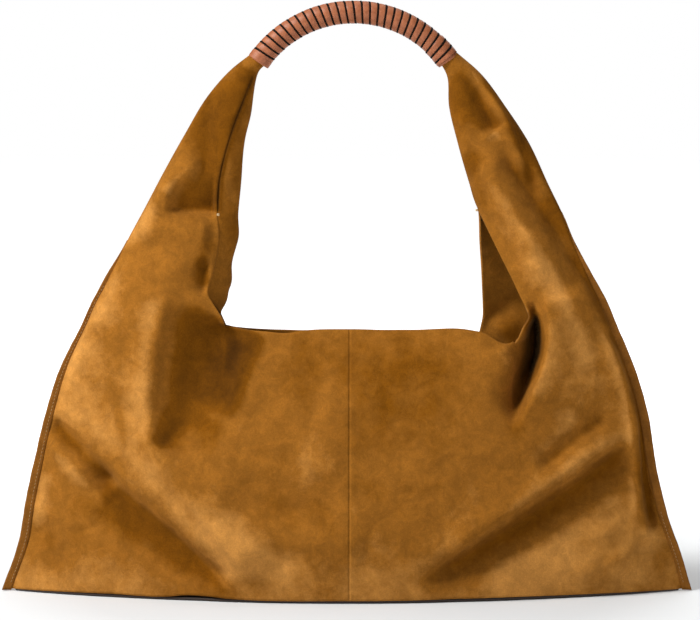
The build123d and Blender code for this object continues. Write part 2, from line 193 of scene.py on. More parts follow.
def panel_grid(hand, side):
    """Points of one suede half, hem to handle. Cells above the mouth and past the arm are empty (NaN)."""
    points = np.full((BODY_ROWS + ARM_ROWS + 1, COLUMNS + 1, 3), np.nan)
    stations = INNER[hand, side]
    corner_x, corner_z, h0, q0, r0 = stations[0]
    f = np.linspace(0, 1, ARM_COLUMNS + 1)
    g = np.linspace(0, 1, COLUMNS - ARM_COLUMNS + 1)[1:]

    top_share = round_share(f, q0)
    outer_z = OUTER[hand][0][1]
    top_z_arm = outer_z + (corner_z - outer_z) * top_share
    top_x = corner_x + (SEAM_X - corner_x) * g
    top_z = np.concatenate([top_z_arm, through(MOUTH[side], top_x)])
    rise = np.linspace(0, 1, BODY_ROWS + 1)
    for row, v in enumerate(rise):
        edge_x = float(through(SIDE_SEAM[hand], v * outer_z))
        root_x = ROOT_X[hand] + (corner_x - ROOT_X[hand]) * v
        share = f + (top_share - f) * v**2
        x = np.concatenate([edge_x + (root_x - edge_x) * share, root_x + (SEAM_X - root_x) * g])
        z = v * top_z + (1 - v) ** 2 * through(HEM, x)
        edge = through(SIDE_SEAM[hand], z)
        depth = body_depth(x, z, edge)
        lead = step(0.70, 1.0, v)
        arm = h0 * np.sin(pi * r0 * f)
        gap = arm - depth[: ARM_COLUMNS + 1]
        depth[: ARM_COLUMNS + 1] += lead * gap
        depth[ARM_COLUMNS + 1 :] += lead * gap[-1] * np.exp(-((g / ROOT_REACH) ** 2))
        points[row] = np.stack([x, side * depth, z], axis=-1)

    run = along(OUTER[hand])
    at = np.linspace(0, run[-1], ARM_ROWS + 1)[1:]
    outer = through(np.column_stack([run, OUTER[hand]]), at)
    inner = through(np.column_stack([run, stations]), at)
    for row in range(ARM_ROWS):
        ex, ez, h, q, r = inner[row]
        share = round_share(f, q)
        x = outer[row, 0] + (ex - outer[row, 0]) * share
        z = outer[row, 1] + (ez - outer[row, 1]) * share
        depth = h * np.sin(pi * r * f)
        points[BODY_ROWS + 1 + row, : ARM_COLUMNS + 1] = np.stack([x, side * depth, z], axis=-1)
    return points


def settle(points, times):
    """Evens out the grid's depth, leaving its edges where they are."""
    y = points[..., 1]
    for _ in range(times):
        mean = (y[:-2, 1:-1] + y[2:, 1:-1] + y[1:-1, :-2] + y[1:-1, 2:]) / 4
        known = ~np.isnan(mean)
        y[1:-1, 1:-1][known] = mean[known]
    return points


def grid_faces(points):
    """Numbers the filled cells' corners and lists the quads between them."""
    filled = ~np.isnan(points[..., 0])
    index = np.cumsum(filled).reshape(filled.shape) - 1
    a, b, c, d = index[:-1, :-1], index[:-1, 1:], index[1:, 1:], index[1:, :-1]
    whole = filled[:-1, :-1] & filled[:-1, 1:] & filled[1:, 1:] & filled[1:, :-1]
    quads = np.stack([a[whole], b[whole], c[whole], d[whole]], axis=-1)
    return filled, quads


def to_mesh(name, verts, faces, smooth=True):
    """A new object from millimetre vertices."""
    mesh = bpy.data.meshes.new(name)
    faces = faces.tolist() if isinstance(faces, np.ndarray) else faces
    mesh.from_pydata((np.asarray(verts, float) * MM).tolist(), [], faces)
    mesh.validate()
    mesh.polygons.foreach_set("use_smooth", [smooth] * len(mesh.polygons))
    mesh.update()
    obj = bpy.data.objects.new(name, mesh)
    bpy.context.scene.collection.objects.link(obj)
    return obj


def skin(rings, size, first=0, closed=False, turned=False):
    """Faces over rings of size points each, numbered from first: round in a loop, or else with flat ends."""
    faces = []
    for i in range(rings if closed else rings - 1):
        for k in range(size):
            a, b = first + i * size + k, first + i * size + (k + 1) % size
            c, d = (first + (i + 1) % rings * size + m for m in (k, (k + 1) % size))
            faces.append([a, c, d, b] if turned else [a, b, d, c])
    if not closed:
        start = list(range(first, first + size))
        end = [first + (rings - 1) * size + k for k in range(size)]
        faces += [start, end[::-1]] if turned else [start[::-1], end]
    return faces


def applied(obj):
    """Turns the object's modifiers into plain mesh."""
    depsgraph = bpy.context.evaluated_depsgraph_get()
    mesh = bpy.data.meshes.new_from_object(obj.evaluated_get(depsgraph))
    obj.modifiers.clear()
    old = obj.data
    obj.data = mesh
    mesh.name = old.name
    bpy.data.meshes.remove(old)
    return obj


def normals_of(obj):
    """Vertex normals of a mesh as an array."""
    out = np.empty(len(obj.data.vertices) * 3)
    obj.data.vertex_normals.foreach_get("vector", out)
    return out.reshape(-1, 3)


def coords_of(obj):
    """Vertex positions of a mesh in millimetres."""
    out = np.empty(len(obj.data.vertices) * 3)
    obj.data.vertices.foreach_get("co", out)
    return out.reshape(-1, 3) / MM


def set_coords(obj, coords):
    """Moves a mesh's vertices to millimetre positions."""
    obj.data.vertices.foreach_set("co", (coords * MM).ravel())
    obj.data.update()


# ------------ folds
# Each fold: path of (x, z) drawn downwards, height out of the surface (negative for a valley), its reach in
# millimetres to the right of the path (above it, where it runs down to the right; below it, where it runs
# down to the left) and to the other side, and the lengths over which it fades in and out.
FRONT_FOLDS = [
    # left body: the big lobe, the hollow beside it and the long slanting roll
    ([(-196, 266), (-206, 210), (-200, 150)], 7, 34, 36, 50, 50),
    ([(-150, 268), (-160, 220), (-166, 178), (-165, 128)], 8, 9, 24, 24, 14),
    ([(-104, 240), (-114, 205), (-129, 168), (-157, 124)], -14, 24, 26, 16, 18),
    ([(-182, 146), (-150, 110), (-108, 62), (-72, 16)], 14, 32, 12, 30, 34),
    ([(-224, 112), (-184, 82), (-140, 46), (-98, 12)], -14, 9, 22, 26, 18),
    ([(-256, 152), (-224, 123), (-194, 92)], -7, 6, 8, 16, 14),
    ([(-258, 134), (-228, 105), (-198, 76)], 6, 8, 8, 16, 16),
    ([(-264, 66), (-252, 42), (-240, 16)], -6, 9, 14, 16, 12),
    ([(-88, 214), (-92, 180), (-100, 150)], 5, 18, 6, 14, 20),
    ([(-10, 200), (-16, 150), (-26, 96)], 5, 22, 14, 40, 30),
    ([(-110, 90), (-60, 80), (0, 84)], -5, 16, 18, 26, 26),
    ([(-60, 60), (-20, 50), (20, 54)], 3, 16, 16, 26, 26),
    # right body: the pleat at the mouth's corner, the slanting hollow and the creases beside the seam
    ([(152, 250), (158, 232), (159, 208), (153, 186), (145, 166), (137, 140)], -38, 3, 12, 9, 46),
    ([(166, 262), (170, 228), (167, 205), (158, 180), (146, 146)], 9, 24, 3.5, 16, 30),
    ([(130, 216), (136, 196), (132, 168)], 6, 8, 16, 8, 30),
    ([(238, 140), (200, 118), (160, 92), (118, 65), (66, 30)], 7, 8, 16, 26, 40),
    ([(242, 124), (188, 88), (132, 54), (60, 10)], -14, 24, 10, 24, 30),
    ([(224, 156), (192, 134), (158, 106)], -6, 6, 10, 16, 16),
    ([(214, 226), (232, 190), (243, 160), (246, 124), (250, 70), (258, 40)], 8, 4, 12, 26, 14),
    ([(220, 240), (238, 205), (250, 170), (253, 130), (257, 90), (262, 50)], -9, 4, 5, 26, 12),
    ([(254, 44), (226, 30), (188, 14)], 6, 12, 12, 18, 22),
    ([(236, 76), (224, 60), (206, 44)], 4, 10, 10, 16, 16),
    # left arm: the shelf above the bulge, the crease beside the seam and the dent in the mouth's edge
    ([(-118, 428), (-117, 400), (-118, 368), (-122, 350)], -4, 8, 10, 16, 12),
    ([(-120, 372), (-146, 350), (-168, 326), (-184, 292)], 7, 12, 18, 18, 26),
    ([(-154, 328), (-132, 326), (-110, 325)], -10, 20, 3.5, 12, 4),
    ([(-176, 312), (-142, 311), (-112, 309)], 6, 8, 16, 14, 10),
    ([(-150, 300), (-146, 280), (-150, 250)], 5, 22, 22, 20, 30),
    ([(-116, 286), (-120, 274), (-122, 254)], -6, 3, 6, 8, 8),
    ([(-164, 384), (-176, 356), (-190, 330)], -4, 8, 8, 16, 16),
    # right arm: the tuck under the wrap and the two long rolls
    ([(104, 450), (112, 424), (126, 392)], -8, 8, 10, 14, 6),
    ([(90, 404), (108, 396), (128, 386)], 3, 8, 10, 8, 14),
    ([(98, 454), (126, 418), (143, 384), (152, 350)], 7, 6, 6, 12, 26),
    ([(109, 443), (136, 404), (150, 367), (164, 330)], -5, 4, 4, 16, 24),
    ([(108, 376), (130, 340), (152, 302), (170, 250)], 9, 16, 15, 24, 36),
    ([(126, 384), (152, 344), (178, 308), (202, 258)], -9, 9, 9, 24, 30),
    ([(188, 300), (206, 266), (220, 236)], -6, 4, 5, 16, 16),
    ([(112, 320), (122, 300), (134, 276)], -4, 8, 6, 10, 16),
]
BACK_FOLDS = [
    # body, left and right as seen from the front
    ([(-118, 238), (-142, 200), (-168, 160), (-186, 120)], -12, 12, 26, 20, 24),
    ([(-196, 232), (-206, 190), (-204, 146)], 7, 24, 26, 34, 34),
    ([(-90, 214), (-100, 170), (-90, 130)], 5, 20, 16, 20, 30),
    ([(-186, 130), (-150, 92), (-104, 50), (-66, 16)], 9, 26, 12, 30, 34),
    ([(-226, 112), (-186, 74), (-140, 36), (-104, 8)], -9, 9, 20, 26, 18),
    ([(-250, 132), (-220, 104), (-196, 80)], -5, 7, 9, 16, 14),
    ([(-20, 200), (-28, 140), (-16, 70)], 4, 18, 16, 30, 36),
    ([(-100, 84), (-50, 76), (10, 82)], -4, 16, 18, 26, 26),
    ([(124, 236), (150, 196), (168, 154), (190, 116)], -12, 24, 10, 20, 26),
    ([(196, 230), (208, 190), (206, 146)], 7, 24, 26, 34, 34),
    ([(104, 206), (116, 160), (104, 116)], 5, 16, 20, 24, 30),
    ([(202, 140), (160, 98), (112, 52), (72, 16)], 9, 12, 26, 30, 34),
    ([(236, 120), (192, 80), (146, 42), (108, 8)], -9, 20, 9, 26, 18),
    ([(248, 104), (224, 78), (200, 58)], 5, 8, 8, 16, 16),
    ([(40, 190), (46, 130), (36, 80)], -3, 20, 18, 30, 30),
    # arms
    ([(-118, 420), (-140, 376), (-160, 340), (-184, 292)], 5, 9, 12, 20, 30),
    ([(-104, 400), (-122, 360), (-142, 322)], -5, 6, 8, 20, 20),
    ([(110, 430), (134, 392), (152, 350), (178, 298)], 5, 9, 12, 20, 30),
    ([(106, 396), (122, 356), (140, 316)], -5.5, 6, 8, 20, 20),
]


# Painted shade and painted highlights for the suede's colour: strokes laid out like the folds, darker where
# negative. They paint the shadows in the hollows and the pleat and the light along the rolls and crests.
FRONT_PAINTED_SHADING = [
    # left body
    ([(-126, 262), (-134, 225), (-139, 190), (-144, 158), (-158, 127)], -1.5, 14, 8, 34, 8),
    ([(-73, 226), (-85, 198), (-93, 178), (-99, 162), (-103, 152)], -2.7, 7, 30, 8, 18),
    ([(-158, 128), (-143, 143), (-131, 152), (-116, 156)], -1.2, 14, 4, 6, 14),
    ([(-105, 232), (-104, 205), (-106, 186)], 0.5, 2, 3, 8, 14),
    ([(-92, 222), (-98, 202), (-106, 184)], -0.9, 8, 10, 8, 14),
    ([(-106, 240), (-109, 208), (-117, 182), (-127, 158)], -1.3, 16, 16, 20, 12),
    ([(-162, 262), (-168, 215), (-171, 170), (-167, 128)], 0.85, 7, 12, 20, 20),
    ([(-254, 148), (-222, 118), (-196, 94)], -1.1, 5, 8, 12, 22),
    ([(-216, 98), (-184, 77), (-152, 53), (-118, 22), (-92, 2)], -1.7, 6, 20, 26, 14),
    ([(-254, 126), (-226, 99), (-196, 72)], 0.45, 6, 6, 14, 16),
    ([(-196, 184), (-190, 150), (-184, 122)], -0.5, 4, 6, 14, 14),
    ([(-262, 60), (-244, 40), (-226, 22)], -0.35, 14, 14, 16, 12),
    ([(-214, 262), (-224, 197), (-206, 128)], 0.35, 30, 26, 40, 40),
    ([(-246, 166), (-184, 122), (-134, 70), (-82, 14)], 0.75, 20, 11, 30, 24),
    ([(-7, 206), (-24, 156), (-34, 122), (-24, 98)], 0.5, 14, 10, 26, 20),
    ([(-60, 100), (-20, 92), (20, 70)], 0.35, 9, 12, 20, 20),
    ([(26, 214), (32, 160), (28, 110)], -0.45, 26, 14, 30, 40),
    ([(0, 230), (0, 120), (0, 20)], -0.2, 100, 90, 30, 30),
    ([(-100, 96), (-40, 84), (30, 92)], -0.25, 16, 16, 30, 30),
    ([(-290, 8), (0, 6), (290, 8)], 0.7, 34, 30, 10, 10),
    ([(-120, 78), (-92, 54), (-66, 32), (-30, 16)], 0.7, 16, 16, 20, 30),
    ([(-70, 192), (20, 190), (110, 192)], -0.6, 40, 34, 30, 40),
    ([(-134, 148), (-114, 148), (-92, 138)], -1.2, 12, 20, 14, 20),
    ([(-226, 228), (-238, 184), (-247, 136)], 1.0, 13, 10, 24, 16),
    ([(-254, 108), (-262, 74), (-266, 44)], 1.1, 9, 8, 14, 20),
    ([(-190, 276), (-203, 248), (-210, 220)], 0.8, 12, 12, 16, 20),
    # right body
    ([(158, 290), (180, 252), (197, 218), (203, 186)], 0.8, 7, 10, 24, 20),
    ([(206, 262), (219, 231), (229, 204)], -1.0, 6, 6, 16, 16),
    ([(194, 160), (172, 132), (150, 114)], 0.8, 9, 9, 10, 20),
    ([(170, 230), (190, 120), (200, 20)], 0.25, 60, 60, 30, 20),
    ([(155, 246), (161, 228), (162, 210), (157, 192), (150, 174)], -4.2, 2.5, 7, 12, 24),
    ([(168, 240), (172, 218), (166, 190), (156, 168)], 0.5, 9, 3, 12, 20),
    ([(158, 180), (146, 150), (132, 124)], -0.6, 8, 12, 20, 26),
    ([(244, 130), (214, 111), (172, 84), (128, 57), (94, 37), (52, 10)], -1.3, 23, 6, 12, 22),
    ([(224, 156), (192, 134), (158, 106)], -0.9, 6, 9, 14, 20),
    ([(236, 140), (198, 120), (161, 95), (119, 67)], 0.45, 5, 6, 14, 30),
    ([(238, 92), (206, 64), (140, 24), (110, 6)], 1.0, 26, 14, 24, 24),
    ([(262, 60), (252, 30), (246, 6)], 0.6, 12, 16, 12, 8),
    ([(224, 232), (239, 196), (249, 160), (253, 110), (260, 52)], -1.6, 5, 8, 26, 16),
    ([(206, 250), (222, 206), (234, 168), (239, 122), (244, 60)], 0.8, 3, 5, 40, 20),
    # arms
    ([(-110, 374), (-115, 350), (-113, 328)], -1.3, 8, 10, 12, 6),
    ([(-158, 336), (-170, 318), (-188, 290)], 0.6, 9, 9, 14, 16),
    ([(112, 402), (138, 378), (162, 354), (178, 326)], 0.9, 6, 8, 12, 20),
    ([(102, 380), (110, 350), (120, 318)], -1.1, 9, 9, 14, 16),
    ([(92, 446), (106, 418), (127, 394)], -1.5, 5, 13, 14, 4),
    ([(100, 450), (117, 424), (136, 396)], 0.85, 3, 3, 14, 20),
    ([(112, 441), (139, 404), (151, 372), (158, 346)], -1.3, 2.5, 4, 16, 16),
    ([(96, 398), (112, 392), (126, 388)], 0.35, 5, 8, 8, 8),
    ([(106, 372), (128, 338), (154, 301), (179, 261), (196, 227)], 0.75, 6, 14, 24, 40),
    ([(132, 420), (171, 350), (202, 291), (223, 240)], -1.5, 5, 11, 24, 30),
    ([(122, 392), (150, 346), (184, 292)], -0.5, 10, 8, 24, 30),
    ([(-146, 329), (-130, 329), (-109, 327)], -1.3, 13, 2.5, 12, 4),
    ([(-118, 366), (-133, 360), (-146, 349), (-153, 336)], 0.75, 5, 6, 10, 8),
    ([(-80, 448), (-110, 406), (-136, 360)], -0.8, 24, 26, 8, 30),
    ([(-117, 430), (-113, 402), (-108, 372)], -0.8, 3, 6, 12, 12),
    ([(-112, 308), (-120, 286), (-122, 252)], -0.9, 9, 14, 14, 20),
    ([(-104, 440), (-106, 400), (-110, 360)], -0.4, 6, 12, 20, 20),
    ([(-76, 444), (-88, 415), (-99, 385), (-107, 352), (-109, 324)], -3.0, 1.8, 2.2, 10, 3),
    ([(-150, 318), (-130, 326), (-112, 322), (-110, 300)], 0.5, 8, 4, 10, 10),
    ([(-122, 291), (-120, 276), (-117, 260)], -1.5, 2.5, 5.5, 8, 8),
    ([(-150, 372), (-176, 330), (-192, 286)], 0.25, 10, 14, 24, 24),
    ([(-146, 306), (-142, 280), (-146, 256)], 0.25, 16, 16, 16, 16),
]
BACK_PAINTED_SHADING = [
    ([(-84, 436), (-96, 390), (-96, 330), (-100, 250)], -0.45, 14, 24, 20, 30),
    ([(-76, 444), (-88, 415), (-99, 385), (-107, 352), (-109, 324)], -3.0, 1.8, 2.2, 10, 3),
    ([(-98, 372), (-101, 352), (-93, 330)], 0.7, 2.5, 3, 10, 10),
    ([(-196, 240), (-208, 190), (-204, 140)], 0.45, 24, 26, 40, 40),
    ([(-122, 240), (-146, 200), (-172, 158), (-188, 122)], -0.9, 8, 16, 20, 20),
    ([(-186, 134), (-150, 96), (-104, 54), (-66, 18)], 0.6, 18, 11, 30, 30),
    ([(-224, 108), (-184, 70), (-140, 34), (-104, 6)], -0.8, 7, 18, 26, 18),
    ([(126, 236), (152, 196), (170, 154), (190, 118)], -0.9, 16, 7, 20, 20),
    ([(202, 144), (160, 102), (112, 56), (72, 20)], 0.6, 11, 18, 30, 30),
    ([(234, 116), (190, 76), (146, 40), (108, 8)], -0.8, 18, 7, 26, 18),
    ([(198, 240), (210, 190), (206, 140)], 0.45, 26, 24, 40, 40),
    ([(-30, 200), (-36, 120), (-20, 50)], 0.25, 22, 20, 40, 40),
]


def fold_height(x, z, folds):
    """Sum of the folds' heights at each point."""
    total = np.zeros_like(x)
    for path, height, reach_right, reach_left, fade_in, fade_out in folds:
        run = along(path)
        fine = through(np.column_stack([run, path]), np.linspace(0, run[-1], 6 * len(path)))
        run = along(fine)
        best = np.full_like(x, 1e9)
        across = np.zeros_like(x)
        place = np.zeros_like(x)
        for (ax, az), (bx, bz), start in zip(fine[:-1], fine[1:], run[:-1]):
            dx, dz = bx - ax, bz - az
            length = np.hypot(dx, dz)
            t = np.clip(((x - ax) * dx + (z - az) * dz) / length**2, 0, 1)
            px, pz = x - ax - t * dx, z - az - t * dz
            dist = np.hypot(px, pz)
            near = dist < best
            best = np.where(near, dist, best)
            across = np.where(near, dx * pz - dz * px, across)
            place = np.where(near, start + t * length, place)
        reach = np.where(across > 0, reach_right, reach_left)
        shape = np.exp(-((best / reach) ** CREST))
        fade = step(0, fade_in, place) * step(0, fade_out, run[-1] - place)
        total += height * shape * fade
    return total


def ripple(coords, size, seed):
    """Smooth noise between about -1 and 1, with features about size millimetres across."""
    shift = Vector((seed * 17.3, seed * 5.1, seed * 9.7))
    return np.array([noise.noise(Vector(c) / size + shift) for c in coords])


def thicken(obj, thickness, offset=-1, rim=0):
    """Gives a surface its thickness. rim is the material slot of the cut edge, counted from the surface's."""
    shell = obj.modifiers.new("thickness", "SOLIDIFY")
    shell.thickness = thickness * MM
    shell.offset = offset
    shell.material_offset_rim = rim
    return applied(obj)


surface = {}  # points and outward normals of each finished suede half, by hand and side


def suede_half(hand, side):
    """One cut of suede, from the hem to the handle, with its folds and its painted shading."""
    points = settle(panel_grid(hand, side), SETTLING)
    filled, quads = grid_faces(points)
    if hand * side < 0:
        quads = quads[:, ::-1]
    steps = np.linalg.norm(np.diff(points, axis=1), axis=2)
    reach = np.concatenate([np.zeros((len(points), 1)), np.cumsum(steps, axis=1)], axis=1)
    from_side = reach[filled]
    obj = to_mesh(f"suede_{SIDE[side]}_{HAND[hand]}", points[filled], quads)
    coords, normals = coords_of(obj), normals_of(obj)
    x, z = coords[:, 0], coords[:, 2]
    height = fold_height(x, z, FRONT_FOLDS if side == FRONT else BACK_FOLDS)
    seed = 2 * hand + side + 5
    from_seam = np.abs(x - SEAM_X)
    slack = sum(tall * ripple(coords, size, seed + k) for k, (tall, size) in enumerate(WAVES))
    slack -= CREASE_DEPTH * (1 - np.abs(ripple(coords, CREASE_SIZE, seed + 2))) ** CREASE_SHARPNESS
    height += slack * step(0, 12, from_seam)
    row = np.nonzero(filled)[0]
    # The folds fade at the side seam, the arm's inner edge, the handle and the front's hem.
    height *= step(0, 10, from_side)
    width = np.array([np.nanmax(line) for line in reach])[row]
    inner_edge = step(0, 12 if hand == RIGHT else 4, width - from_side)
    height *= np.where(row > BODY_ROWS, inner_edge, 1)
    height *= step(0, 30, BODY_ROWS + ARM_ROWS - row)
    if side == FRONT:
        height *= 0.25 + 0.75 * step(0, 30, z)
    height -= GROOVE_DEPTH * np.exp(-((from_seam / GROOVE_WIDTH) ** 2)) * (row <= BODY_ROWS)
    set_coords(obj, coords + normals * (0.3, 1.0, 0.3) * height[:, None])
    grid, facing = np.full_like(points, np.nan), np.full_like(points, np.nan)
    grid[filled], facing[filled] = coords_of(obj), normals_of(obj)
    surface[hand, side] = grid, facing
    # Painted shading stored on the mesh and read by the suede material: the strokes, plus painted shade in
    # the fold valleys, painted highlight on their crests, and a darkening that grows from 270 to 390 mm up,
    # over the arms.
    nap_and_painted_shade = fold_height(x, z, FRONT_PAINTED_SHADING if side == FRONT else BACK_PAINTED_SHADING)
    nap_and_painted_shade += 0.02 * height - 0.4 * step(270, 390, z)
    obj.data.attributes.new("nap_and_painted_shade", "FLOAT", "POINT").data.foreach_set("value", nap_and_painted_shade.astype(np.float32))
    return obj


# ------------ handle and its wrap
HANDLE_X, HANDLE_Z, HANDLE_R = 5.6, 394.08, 98.0  # centre and radius of the handle's arc
TURNS = 28
WRAP_LEFT, WRAP_RIGHT = -54.6, 53.2  # the wrap's ends, in degrees from the handle's top
WRAP_INSIDE = 7.9  # radius of the wrap's hidden underside
DOUBLED = (0.905, 0.911, 0.6)  # shares of the wrap's length where it climbs onto its tucked end, and how far
# Outlines of the flat leather strip, and of its painted edge that shows between the turns.
STRIP = [(0.06, WRAP_INSIDE), (0.06, 9.0), (0.12, 9.35), (0.3, 9.6), (0.55, 9.68), (0.8, 9.6), (0.95, 9.4),
         (0.99, 9.1), (0.99, WRAP_INSIDE)]
PAINT = [(0.88, 8.0), (0.88, 9.4), (0.91, 9.72), (1.02, 9.76), (1.12, 9.64), (1.15, 9.2), (1.15, 8.0)]


def handle_point(angle, radius, turn):
    """A point on a ring round the handle's centreline. angle is from the top, turn goes round the ring."""
    reach = HANDLE_R + radius * cos(turn)
    return (HANDLE_X + reach * sin(angle), radius * sin(turn), HANDLE_Z + reach * cos(angle))


def spiral(name, profile, wobble, steps=40):
    """A band laid in a spiral on the handle. profile is a closed loop of (share of pitch, radius)."""
    start, end = radians(WRAP_LEFT), radians(WRAP_RIGHT)
    verts = []
    total = TURNS * steps
    for i in range(total + 1):
        turn = -2 * pi * i / steps
        for share, radius in profile:
            place = min(max((i / steps + share) / TURNS, 0.0), 1.0)
            doubled = DOUBLED[2] * step(DOUBLED[0], DOUBLED[1], place)
            sway = wobble * noise.noise(Vector((i / steps * 1.7, share, turn * 0.4)))
            verts.append(handle_point(start + (end - start) * place, radius + sway + doubled, turn))
    return to_mesh(name, verts, skin(total + 1, len(profile), turned=True))


def end_band(name, low, high, radius):
    """The strip's last turn, wound square across the handle between two angles in degrees."""
    profile = [(0.0, WRAP_INSIDE), (0.0, radius - 0.35), (0.06, radius - 0.08), (0.2, radius), (0.8, radius),
               (0.94, radius - 0.08), (1.0, radius - 0.35), (1.0, WRAP_INSIDE)]
    sides = 48
    verts = []
    for i in range(sides):
        turn = 2 * pi * i / sides
        for share, reach in profile:
            sway = 0.15 * noise.noise(Vector((cos(turn) * 1.5, sin(turn) * 1.5, low + share)))
            verts.append(handle_point(radians(low + (high - low) * share), reach + sway, turn))
    return to_mesh(name, verts, skin(sides, len(profile), closed=True))


# ------------ small parts
def cut(name, grid, thickness, flip=False, offset=-1):
    """A sheet through a grid of points."""
    filled, quads = grid_faces(grid)
    return thicken(to_mesh(name, grid[filled], quads[:, ::-1] if flip else quads), thickness, offset)


def lining_strip(name, hand, side, rows, column, thickness):
    """A strip on the inside of a suede half, over some rows and from a column to the centre seam."""
    points, facing = surface[hand, side]
    part = np.s_[rows[0] : rows[1] + 1, column:]
    inside = points[part] - (SUEDE + LINING_GAP) * facing[part]
    return cut(name, inside, thickness, flip=hand * side < 0)


def seam_x(hand, z):
    """Where the side seam stands at a height."""
    outer = [(height, x) for x, height in OUTER[hand]]
    return np.where(z < outer[0][0], through(SIDE_SEAM[hand], z), through(outer, z))


FLANGE_TOP = {LEFT: 300.0, RIGHT: 324.0}
FLANGE_TUCK = 1.6  # how far inside the seam the raw edge begins


def flange_width(hand, z):
    """The raw edge stands this far out beyond the seam."""
    if hand == LEFT:
        return 6.4 - 2.6 * step(70, 250, z) - 3.4 * step(262, 300, z)
    return 6.2 - 5.8 * step(236, 324, z)


def flange(hand, side):
    """One layer of the raw seam edge that stands out beyond the side stitching."""
    z = np.linspace(0.6, FLANGE_TOP[hand], 120)
    seed = 3.1 * hand + 1.7 * side
    uneven = np.array([noise.noise(Vector((h / 9, seed, 0))) for h in z])
    sway = np.array([noise.noise(Vector((h / 34, seed, 5))) for h in z])
    grid = np.zeros((len(z), 6, 3))
    for k, share in enumerate(np.linspace(0, 1, 6)):
        out = -FLANGE_TUCK + (flange_width(hand, z) + FLANGE_TUCK + 0.35 * uneven) * share
        grid[:, k, 0] = seam_x(hand, z) + hand * out
        grid[:, k, 1] = side * (0.12 + share**2 * (0.5 + 0.9 * sway * sway))
        grid[:, k, 2] = z
    return cut(f"flange_{HAND[hand]}_{SIDE[side]}", grid, 1.5, flip=hand * side > 0, offset=1)


def stitches(name, lines, pitch=3.1, length=2.1, radius=0.30):
    """Threads over the surface, one after another along each line. A line is its points and its way out."""
    rings = [(-1.0, 0.25, -0.5), (-0.75, 0.85, 0.0), (0.0, 1.0, 0.16), (0.75, 0.85, 0.0), (1.0, 0.25, -0.5)]
    sides = 6
    verts, faces = [], []
    for points, outward in lines:
        points = np.asarray(points, float)
        run = along(points)
        table = np.column_stack([run, points])
        for start in np.arange(pitch, run[-1] - length, pitch):
            a, b = through(table, start), through(table, start + length)
            tangent = (b - a) / np.linalg.norm(b - a)
            across = np.cross(tangent, outward)
            first = len(verts)
            for t, fat, lift in rings:
                centre = (a + b) / 2 + tangent * t * length / 2 + np.asarray(outward) * lift * radius
                for k in range(sides):
                    turn = 2 * pi * k / sides
                    spoke = across * cos(turn) + np.asarray(outward) * sin(turn)
                    verts.append(centre + spoke * radius * fat)
            faces += skin(len(rings), sides, first)
    return to_mesh(name, verts, faces)


def side_stitches(hand):
    """The stitching on both faces of a side seam."""
    z = np.linspace(4, 262 if hand == LEFT else 70, 60)
    lines = []
    for side in (FRONT, BACK):
        points = np.stack([seam_x(hand, z) + hand * 0.9, np.full_like(z, side * 1.75), z], axis=-1)
        lines.append((points, (0, side, 0)))
    return stitches(f"side_stitches_{HAND[hand]}", lines)


TACKS = {LEFT: (-108.4, -12.8, 322.5), RIGHT: (109.6, -1.6, 325.5)}


def tack(hand):
    """A short dense bar of thread at the mouth's end."""
    x, y, z = TACKS[hand]
    lines = []
    for k in range(4):
        height = z - 0.8 + 0.5 * k
        lines.append(([(x - 3.4, y, height), (x + 2.6, y, height)], (0, -1, 0)))
    return stitches(f"mouth_tack_{HAND[hand]}", lines, pitch=2.2, length=2.3, radius=0.3)


def base_sheet():
    """The leather base: it follows the hem of the suede, and its edge shows below the hem as a dark cord that
    is partly the base's edge and partly painted contact shadow.
    """
    x = np.linspace(-282, 282, 160)
    rims = []
    for side in (FRONT, BACK):
        hem = np.concatenate([surface[LEFT, side][0][0], surface[RIGHT, side][0][0][::-1]])
        hem = hem[np.argsort(hem[:, 0], kind="stable")]
        rims.append(np.interp(x, hem[:, 0], hem[:, 1]) * 0.98 - side * 1.6)
    grid = np.zeros((len(x), 25, 3))
    for k, share in enumerate(np.linspace(0, 1, 25)):
        rim = abs(2 * share - 1)
        grid[:, k, 0] = x
        grid[:, k, 1] = rims[0] + (rims[1] - rims[0]) * share
        grid[:, k, 2] = 2.4 + 0.9 * np.sin(pi * share) - 0.5 * rim**8
    sheet = cut("base_leather", grid, 2.2, flip=True)
    front, back = (np.column_stack([x, rim, np.full_like(x, 1.5)]) for rim in rims)
    # A dark cord round the base under the hem: partly the base's edge, partly a painted contact shadow.
    piping_and_shadow = tube("base_piping_and_shadow", np.concatenate([front, back[::-1]]), 1.4, 10)
    return sheet, piping_and_shadow


def tube(name, path, radius, sides):
    """A round cord along a closed path of points."""
    path = np.asarray(path, float)
    ahead = np.roll(path, -1, axis=0) - np.roll(path, 1, axis=0)
    ahead /= np.linalg.norm(ahead, axis=1)[:, None]
    across = np.cross(ahead, (0, 0, 1))
    across /= np.linalg.norm(across, axis=1)[:, None]
    turns = 2 * pi * np.arange(sides) / sides
    rings = path[:, None] + radius * (across[:, None] * np.cos(turns)[None, :, None]
                                      + np.array((0, 0, 1)) * np.sin(turns)[None, :, None])
    return to_mesh(name, rings.reshape(-1, 3), skin(len(path), sides, closed=True))


# ------------ inner pocket
POCKET_HALF = 95.0
POCKET_TOP, POCKET_BOTTOM = 189.0, 62.0
POCKET_FRONT_Y, POCKET_BACK_Y = 18.5, 27.0
ZIP_Z, ZIP_HALF = 170.0, 80.0


def pocket_cloth(name, x0, x1, z0, z1, y, seed, still_z=None, thickness=0.9):
    """A hanging cloth panel with slight ripples, flat along the zip at height still_z."""
    x, z = np.meshgrid(np.linspace(x0, x1, 60), np.linspace(z0, z1, max(int((z1 - z0) / 3), 4)))
    grid = np.stack([x, np.full_like(x, y), z], axis=-1)
    wave = ripple(grid.reshape(-1, 3), 30, seed).reshape(x.shape)
    edge = step(0, 12, x - x0) * step(0, 12, x1 - x)
    if still_z is not None:
        edge = edge * step(2, 24, np.abs(z - still_z))
    grid[..., 1] += 1.1 * wave * edge
    return cut(name, grid, thickness, offset=0)


